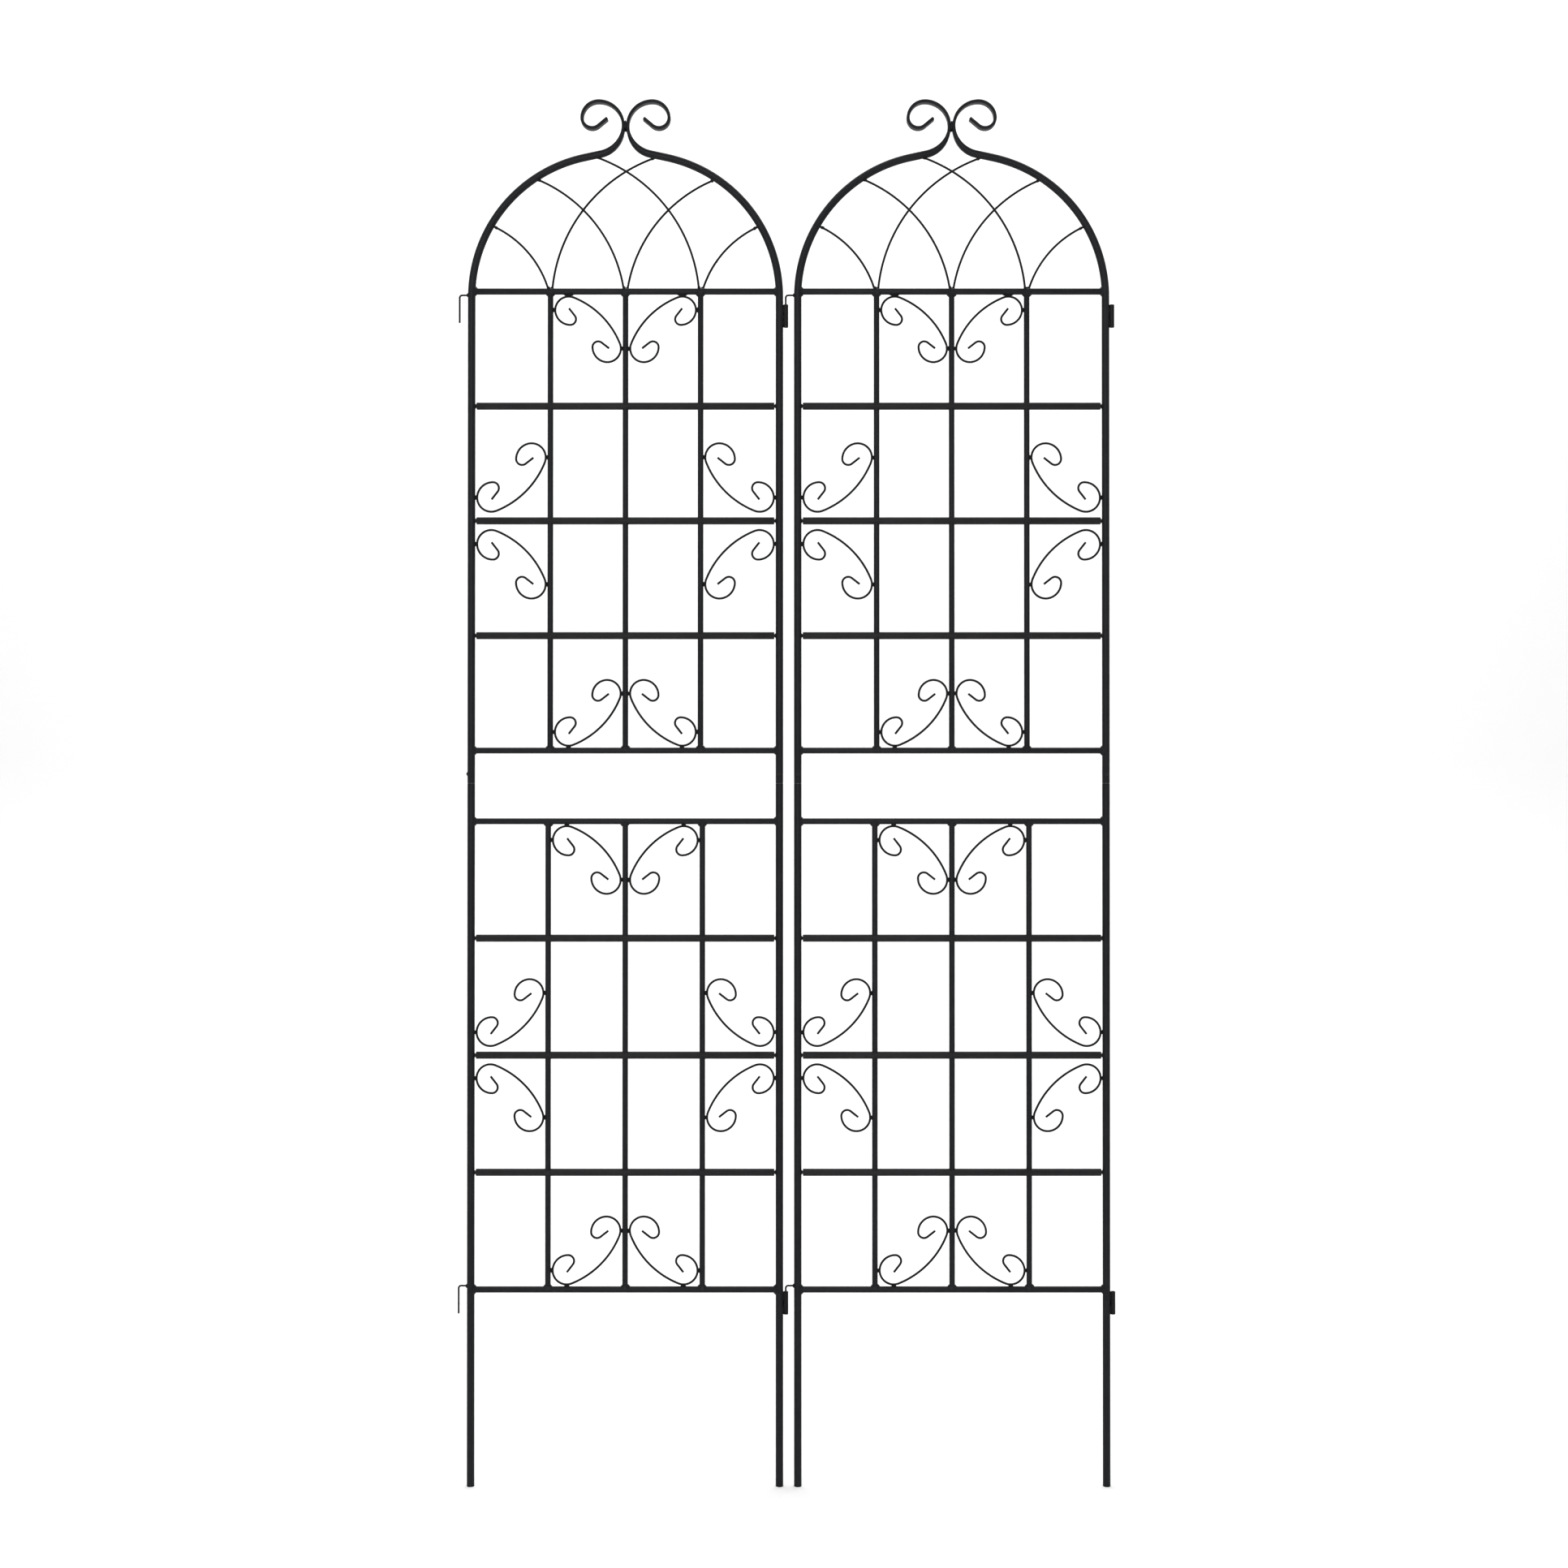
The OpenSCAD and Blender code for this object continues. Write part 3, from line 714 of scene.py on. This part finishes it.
COAT_IOR = 1.45
COAT_SPECULAR = 0.14
PEEL_STRENGTH = 0.4
FLOW_SHARE = 0.17
CLOUD_SCALE = 38.0
DULLER = 0.08
GLOSSIER = 0.06
DARKER = 0.82
LIGHTER = 1.22
DUST_SCALE = 420.0
DUST_FROM = 0.35
DUST_MOST = 0.2
DUST_COLOUR = (0.05, 0.05, 0.05, 1)
MIX_A = 6
MIX_B = 7
MIX_RESULT = 2


def add_node(tree, kind, **inputs):
    """A shader node with some of its inputs set."""
    node = tree.nodes.new(kind)
    for name, value in inputs.items():
        node.inputs[name.replace("_", " ")].default_value = value
    return node


def new_material(name):
    """A node material, its node tree and its shader."""
    material = bpy.data.materials.new(name)
    material.use_nodes = True
    tree = material.node_tree
    return material, tree, tree.nodes["Principled BSDF"]


def orange_peel(tree, place, scale, depth):
    """Fine bumps on top of slower ones, as powder leaves them when it melts."""
    link = tree.links.new
    peel = add_node(tree, "ShaderNodeTexNoise", Scale=scale, Detail=3.0, Roughness=0.55)
    link(place.outputs["Object"], peel.inputs["Vector"])
    flow = add_node(tree, "ShaderNodeTexNoise", Scale=scale * FLOW_SHARE, Detail=2.0)
    link(place.outputs["Object"], flow.inputs["Vector"])
    height = add_node(tree, "ShaderNodeMath")
    height.operation = "ADD"
    link(peel.outputs["Fac"], height.inputs[0])
    link(flow.outputs["Fac"], height.inputs[1])
    bump = add_node(tree, "ShaderNodeBump", Strength=PEEL_STRENGTH, Distance=depth * MM)
    link(height.outputs["Value"], bump.inputs["Height"])
    return bump.outputs["Normal"]


def spread(tree, source, low, high):
    """Maps a texture's 0 to 1 onto low to high."""
    reach = add_node(tree, "ShaderNodeMapRange")
    reach.inputs["To Min"].default_value = low
    reach.inputs["To Max"].default_value = high
    tree.links.new(source, reach.inputs["Value"])
    return reach.outputs["Result"]


def two_tones(tree, source, dark, light, dark_at, light_at):
    """A ramp from a dark to a light colour."""
    tone = add_node(tree, "ShaderNodeValToRGB")
    first, last = tone.color_ramp.elements
    first.position = dark_at
    first.color = (*dark, 1)
    last.position = light_at
    last.color = (*light, 1)
    tree.links.new(source, tone.inputs["Fac"])
    return tone.outputs["Color"]


def dust_share(tree, place):
    """How much dust lies on a face: a little in specks, where it looks up."""
    link = tree.links.new
    surface = add_node(tree, "ShaderNodeNewGeometry")
    normal = add_node(tree, "ShaderNodeSeparateXYZ")
    link(surface.outputs["Normal"], normal.inputs["Vector"])
    upward = add_node(tree, "ShaderNodeMapRange")
    upward.inputs["From Min"].default_value = DUST_FROM
    upward.inputs["From Max"].default_value = 1.0
    upward.inputs["To Max"].default_value = DUST_MOST
    link(normal.outputs["Z"], upward.inputs["Value"])
    speck = add_node(tree, "ShaderNodeTexNoise", Scale=DUST_SCALE, Detail=2.0)
    link(place.outputs["Object"], speck.inputs["Vector"])
    dust = add_node(tree, "ShaderNodeMath")
    dust.operation = "MULTIPLY"
    link(upward.outputs["Result"], dust.inputs[0])
    link(speck.outputs["Fac"], dust.inputs[1])
    return dust.outputs["Value"]


def powder_coat(name, colour, roughness, peel_scale, peel_depth):
    """Satin powder coat: slight orange peel, uneven gloss, and a trace of dust from above."""
    material, tree, shader = new_material(name)
    link = tree.links.new
    shader.inputs["IOR"].default_value = COAT_IOR
    shader.inputs["Specular IOR Level"].default_value = COAT_SPECULAR
    place = add_node(tree, "ShaderNodeTexCoord")
    link(orange_peel(tree, place, peel_scale, peel_depth), shader.inputs["Normal"])

    cloud = add_node(tree, "ShaderNodeTexNoise", Scale=CLOUD_SCALE, Detail=4.0, Roughness=0.6)
    link(place.outputs["Object"], cloud.inputs["Vector"])
    cloudy = cloud.outputs["Fac"]
    gloss = spread(tree, cloudy, roughness - GLOSSIER, roughness + DULLER)
    link(gloss, shader.inputs["Roughness"])

    dark = [part * DARKER for part in colour]
    light = [part * LIGHTER for part in colour]
    coat = add_node(tree, "ShaderNodeMix")
    coat.data_type = "RGBA"
    link(dust_share(tree, place), coat.inputs["Factor"])
    link(two_tones(tree, cloudy, dark, light, 0.32, 0.70), coat.inputs[MIX_A])
    coat.inputs[MIX_B].default_value = DUST_COLOUR
    link(coat.outputs[MIX_RESULT], shader.inputs["Base Color"])
    return material


def brushed_steel(name):
    """Bare steel of the spigots inside the tubes, drawn lengthways."""
    material, tree, shader = new_material(name)
    link = tree.links.new
    shader.inputs["Metallic"].default_value = 1.0
    place = add_node(tree, "ShaderNodeTexCoord")
    stretch = add_node(tree, "ShaderNodeMapping")
    stretch.inputs["Scale"].default_value = (900, 900, 12)
    link(place.outputs["Object"], stretch.inputs["Vector"])
    streak = add_node(tree, "ShaderNodeTexNoise", Scale=1.0, Detail=3.0)
    link(stretch.outputs["Vector"], streak.inputs["Vector"])
    streaky = streak.outputs["Fac"]
    tone = two_tones(tree, streaky, (0.30, 0.30, 0.31), (0.46, 0.46, 0.47), 0.0, 1.0)
    link(tone, shader.inputs["Base Color"])
    link(spread(tree, streaky, 0.28, 0.5), shader.inputs["Roughness"])
    return material


COATS = {
    "black_tube": powder_coat("black_tube_coat", (0.0085, 0.0090, 0.0105), 0.42, 520.0, 0.02),
    "black_bar": powder_coat("black_bar_coat", (0.0120, 0.0120, 0.0130), 0.48, 560.0, 0.02),
    "black_wire": powder_coat("black_wire_coat", (0.0050, 0.0050, 0.0058), 0.46, 700.0, 0.015),
    "black_fitting": powder_coat("black_fitting_coat", (0.0060, 0.0060, 0.0070), 0.44, 650.0, 0.015),
    "dark_screw": powder_coat("dark_screw_coat", (0.0140, 0.0140, 0.0150), 0.32, 800.0, 0.01),
    "bare_steel": brushed_steel("bare_steel_tube"),
}


# ---- the pieces of both panels ----

def place_piece(panel, node, shells, slot, cutter=None):
    """Makes a piece that stands for one CAD node and moves with its panel."""
    mesh = shells.mesh(f"{panel}_{node}_mesh", PANEL_X[panel])
    piece = bpy.data.objects.new(f"{panel}_{node}_finish", mesh)
    bpy.context.scene.collection.objects.link(piece)
    if cutter is not None:
        punch_holes(piece, cutter, panel)
    piece.data.materials.append(COATS[slot])
    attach(piece, panel + "_panel")
    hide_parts(f"{panel}_{node}")
    return piece


def punch_holes(piece, cutter, panel):
    """Cuts the plugs out of a piece's mesh."""
    tool = bpy.data.objects.new("hole_tool", cutter.mesh("hole_tool", PANEL_X[panel]))
    bpy.context.scene.collection.objects.link(tool)
    step = piece.modifiers.new("holes", "BOOLEAN")
    step.operation = "DIFFERENCE"
    step.solver = "EXACT"
    step.object = tool
    bpy.context.view_layer.update()
    cut = piece.evaluated_get(bpy.context.evaluated_depsgraph_get())
    punched = bpy.data.meshes.new_from_object(cut)
    piece.modifiers.clear()
    piece.data = punched
    bpy.data.objects.remove(tool)


def cross_bar_set(bottom_z, top_z, pitch, seed):
    """The three cross bars, what punches their holes, and the weld beads at their necks."""
    heights = [bottom_z + (top_z - bottom_z) * row / ROWS for row in range(1, ROWS)]
    bars = Shells()
    beads = Shells()
    for number, z in enumerate(heights):
        bars.add(cross_bar(z))
        weld_ring(beads, -SIDE_X, z, 0, NECK_R, SIDE_R, NECK_BEAD, seed + number)
        weld_ring(beads, SIDE_X, z, 180, NECK_R, SIDE_R, NECK_BEAD, seed + number + 4)
    return bars, hole_cutters(heights, pitch), beads


def build_panel(panel, first_seed, left_screw_direction):
    """All pieces of one panel. Its spigots keep their CAD shape and get their material."""
    seed = first_seed
    tube = upper_side_tube()
    neck_z = ARCH_END_Z + OGEE_RUN * math.sin(math.radians(OGEE_SLOPE)) + OGEE_R * 0.98
    right_tube = tube.mirrored()
    for side in (-1, 1):
        weld_blob(right_tube, (0, side * FINIAL_BEAD_Y, neck_z), 90, FINIAL_BEAD, seed + side)
    place_piece(panel, "upper_left_tube", tube, "black_tube")
    place_piece(panel, "upper_right_tube", right_tube, "black_tube")
    place_piece(panel, "lower_left_tube", lower_side_tube(), "black_tube")
    place_piece(panel, "lower_right_tube", lower_side_tube().mirrored(), "black_tube")

    place_piece(panel, "upper_top_bar", plain_bar(UPPER_TOP_Z, END_BAR_R, seed + 1), "black_tube")
    place_piece(panel, "upper_bottom_bar", plain_bar(UPPER_BOTTOM_Z, SEAM_BAR_R, seed + 3), "black_tube")
    place_piece(panel, "lower_top_bar", plain_bar(LOWER_TOP_Z, SEAM_BAR_R, seed + 5), "black_tube")
    place_piece(panel, "lower_bottom_bar", plain_bar(LOWER_BOTTOM_Z, END_BAR_R, seed + 7), "black_tube")

    sections = (
        ("upper", UPPER_BOTTOM_Z, SEAM_BAR_R, UPPER_TOP_Z, END_BAR_R, UPPER_PITCH),
        ("lower", LOWER_BOTTOM_Z, END_BAR_R, LOWER_TOP_Z, SEAM_BAR_R, LOWER_PITCH),
    )
    for name, bottom_z, bottom_r, top_z, top_r, pitch in sections:
        seed += 20
        bars, cutters, beads = cross_bar_set(bottom_z, top_z, pitch, seed)
        bar_piece = place_piece(panel, name + "_cross_bars", bars, "black_bar", cutters)
        join_shells(bar_piece, beads, panel)
        posts = uprights(bottom_z, bottom_r, top_z, top_r, pitch, seed + 3)
        place_piece(panel, name + "_uprights", posts, "black_tube")
        smear = LONG_SMEAR if name == "upper" else SHORT_SMEAR
        pair = centre_pair(top_z, top_r, 1, pitch, smear, seed + 5)
        place_piece(panel, name + "_scrolls_top", pair, "black_wire")
        pair = centre_pair(bottom_z, bottom_r, -1, pitch, SHORT_SMEAR, seed + 6)
        place_piece(panel, name + "_scrolls_bottom", pair, "black_wire")
        middle_z = (bottom_z + top_z) / 2
        place_piece(panel, name + "_scrolls_left", side_pair(middle_z, pitch, seed + 7), "black_wire")
        pair = side_pair(middle_z, pitch, seed + 8).mirrored()
        place_piece(panel, name + "_scrolls_right", pair, "black_wire")

    inner_start = (-INNER_START_X, ARCH_END_Z - UPPER_TOP_Z + INNER_START_RISE)
    wires = (
        ("outer", on_arch(OUTER_START), -UPPER_PITCH - FOOT_GAP, OUTER_WIRE_R),
        ("middle", on_arch(MIDDLE_START), -FOOT_GAP, MIDDLE_WIRE_R),
        ("inner", inner_start, UPPER_PITCH - FOOT_GAP, INNER_WIRE_R),
    )
    for number, (name, start, foot_x, radius) in enumerate(wires):
        work = tracery(start, foot_x, radius, seed + 11 * number)
        place_piece(panel, "tracery_" + name, work, "black_wire")

    screws = joint_screw(-SIDE_X, left_screw_direction)
    screws.add(joint_screw(SIDE_X, FRONT_SCREW))
    place_piece(panel, "joint_screws", screws, "dark_screw")
    place_piece(panel, "upper_hook", hook(UPPER_TOP_Z - HOOK_OFFSET, seed), "black_fitting")
    place_piece(panel, "lower_hook", hook(LOWER_BOTTOM_Z + HOOK_OFFSET, seed + 2), "black_fitting")
    upper_mouth = UPPER_TOP_Z - UPPER_SOCKET_DROP
    place_piece(panel, "upper_socket", socket(upper_mouth, seed + 4), "black_fitting")
    lower_mouth = LOWER_BOTTOM_Z - LOWER_SOCKET_DROP
    place_piece(panel, "lower_socket", socket(lower_mouth, seed + 6), "black_fitting")

    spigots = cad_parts[panel + "_spigots"]
    spigots.data.materials.clear()
    spigots.data.materials.append(COATS["bare_steel"])


def join_shells(piece, shells, panel):
    """Adds more shells to a piece's mesh."""
    extra = shells.mesh("extra", PANEL_X[panel])
    work = bmesh.new()
    work.from_mesh(piece.data)
    work.from_mesh(extra)
    shade(work)
    work.to_mesh(piece.data)
    work.free()
    bpy.data.meshes.remove(extra)


build_panel("left", 1, OUTWARDS_SCREW)
build_panel("right", 61, FRONT_SCREW)


# ---- floor, light and camera ----

def backdrop():
    """A pale floor that curves up into a wall behind the trellis."""
    sweep_r = 1.2
    sweep_steps = 24
    wall_y = 3.2
    wall_top = 7.0
    half = 9.0
    outline = [(-half, 0.0), (wall_y - sweep_r, 0.0)]
    for i in range(1, sweep_steps + 1):
        angle = math.radians(90 * i / sweep_steps)
        y = wall_y - sweep_r + math.sin(angle) * sweep_r
        z = sweep_r - math.cos(angle) * sweep_r
        outline.append((y, z))
    outline.append((wall_y, wall_top))
    points = [(x, y, z) for y, z in outline for x in (-half, half)]
    faces = [(2 * i, 2 * i + 1, 2 * i + 3, 2 * i + 2) for i in range(len(outline) - 1)]
    mesh = bpy.data.meshes.new("backdrop")
    mesh.from_pydata(points, [], faces)
    mesh.shade_smooth()
    floor = bpy.data.objects.new("backdrop", mesh)
    bpy.context.scene.collection.objects.link(floor)
    material, _, shader = new_material("pale_paper")
    shader.inputs["Base Color"].default_value = (0.90, 0.90, 0.90, 1)
    shader.inputs["Roughness"].default_value = 0.95
    shader.inputs["Specular IOR Level"].default_value = 0.1
    mesh.materials.append(material)


def soft_light(name, place, target, width, height, watts):
    """A large soft lamp at place, aimed at target."""
    lamp = bpy.data.lights.new(name, "AREA")
    lamp.shape = "RECTANGLE"
    lamp.size = width
    lamp.size_y = height
    lamp.energy = watts
    holder = bpy.data.objects.new(name, lamp)
    holder.location = place
    holder.rotation_mode = "QUATERNION"
    holder.rotation_quaternion = (Vector(target) - Vector(place)).to_track_quat("-Z", "Y")
    bpy.context.scene.collection.objects.link(holder)


def light_the_scene():
    """Even white light all round, with a soft box in front that draws the tubes' sheen."""
    world = bpy.data.worlds.new("studio")
    world.use_nodes = True
    sky = world.node_tree.nodes["Background"]
    sky.inputs["Color"].default_value = (1, 1, 1, 1)
    sky.inputs["Strength"].default_value = 0.43
    bpy.context.scene.world = world
    bpy.context.scene.view_settings.view_transform = "Standard"
    soft_light("front", (-0.5, -4.6, 2.2), (0, 0, 1.1), 1.2, 3.2, 90)
    soft_light("left", (-3.6, -2.6, 3.0), (0, 0.5, 1.0), 1.8, 2.6, 32)
    soft_light("right", (3.6, -2.4, 2.6), (0, 0.5, 1.0), 1.8, 2.6, 27)
    soft_light("top", (0, 1.4, 5.2), (0, 1.6, 0), 6.0, 3.6, 200)


def place_camera():
    """Straight on, a little below the trellis's middle and tipped up by a hair."""
    lens = bpy.data.cameras.new("camera")
    lens.sensor_width = 36
    lens.lens = 49.3
    camera = bpy.data.objects.new("camera", lens)
    camera.location = (-0.004, -3.4, 1.085)
    target = Vector((-0.004, 0, 1.109))
    camera.rotation_mode = "QUATERNION"
    camera.rotation_quaternion = (target - camera.location).to_track_quat("-Z", "Y")
    bpy.context.scene.collection.objects.link(camera)
    bpy.context.scene.camera = camera


backdrop()
light_the_scene()
place_camera()
